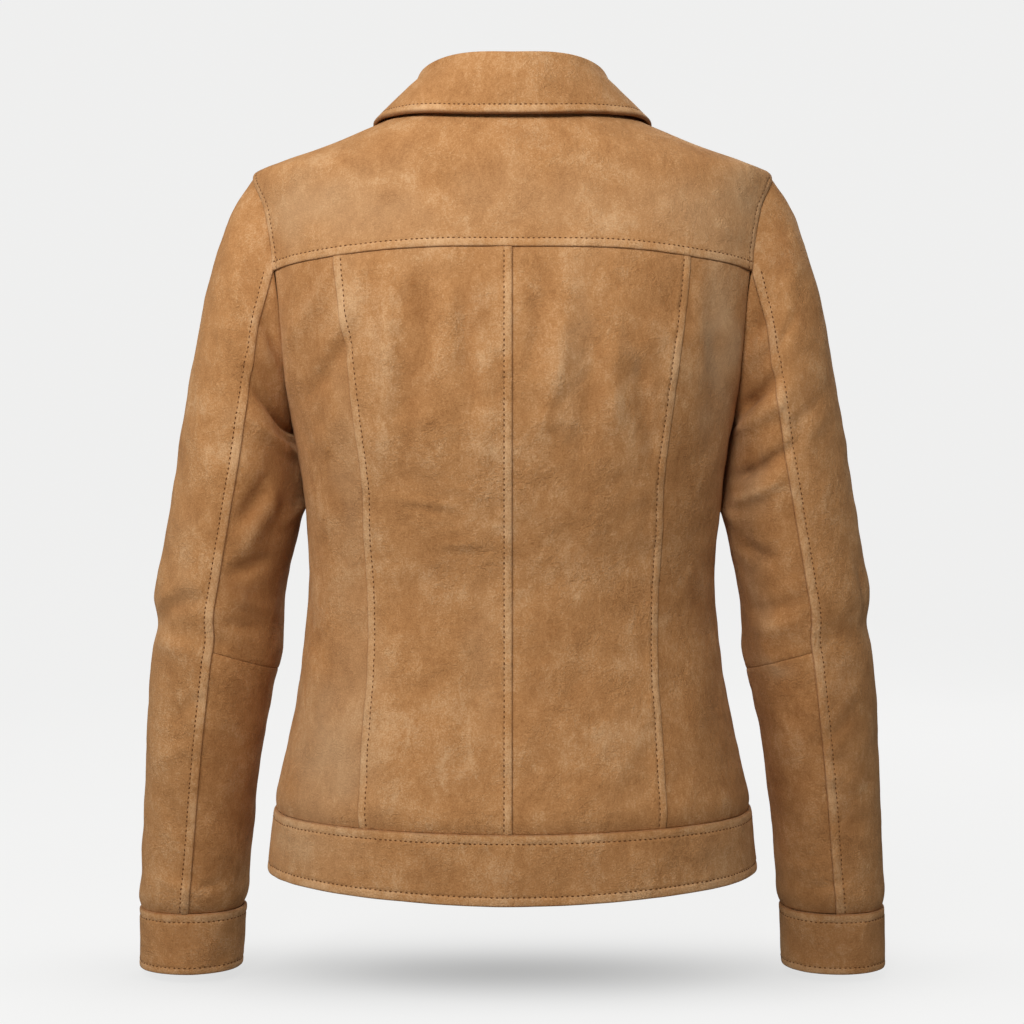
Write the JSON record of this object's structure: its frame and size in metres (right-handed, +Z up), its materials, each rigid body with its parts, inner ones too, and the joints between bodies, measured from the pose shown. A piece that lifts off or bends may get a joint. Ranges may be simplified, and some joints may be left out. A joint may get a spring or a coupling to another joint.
{
  "type": "suede jacket",
  "caption": "Short fitted suede jacket in the trucker cut, filled out and hollow: collar, shoulder yoke, seamed back, long sleeves with cuffs and a waistband.",
  "frame": {"origin": "middle of the neck opening, level with the points where the shoulder seams meet the neck; the wearer's shoulders hold the jacket here", "axes": "+Z up along the body, +Y out of the back, +X towards the wearer's left sleeve"},
  "size_m": [0.6014, 0.2549, 0.7156],
  "materials": {
    "suede_tan": "brushed suede with a short nap",
    "suede_deep": "brushed suede with a short nap, a shade deeper",
    "button_brass": "dull antique brass"
  },
  "bodies": {
    "root": {"back_yoke": "suede_tan", "back_centre_left": "suede_tan", "back_centre_right": "suede_tan", "front_left": "suede_tan", "front_right": "suede_tan", "waistband": "suede_tan", "sleeve_top_left": "suede_tan", "sleeve_top_right": "suede_tan", "cuff_left": "suede_tan", "cuff_right": "suede_tan", "collar": "suede_tan", "back_side_left": "suede_deep", "back_side_right": "suede_deep", "sleeve_under_upper_left": "suede_deep", "sleeve_under_upper_right": "suede_deep", "sleeve_under_lower_left": "suede_deep", "sleeve_under_lower_right": "suede_deep", "button_1": "button_brass", "button_2": "button_brass", "button_3": "button_brass", "button_4": "button_brass", "button_5": "button_brass", "button_waistband": "button_brass"}
  },
  "joints": []
}
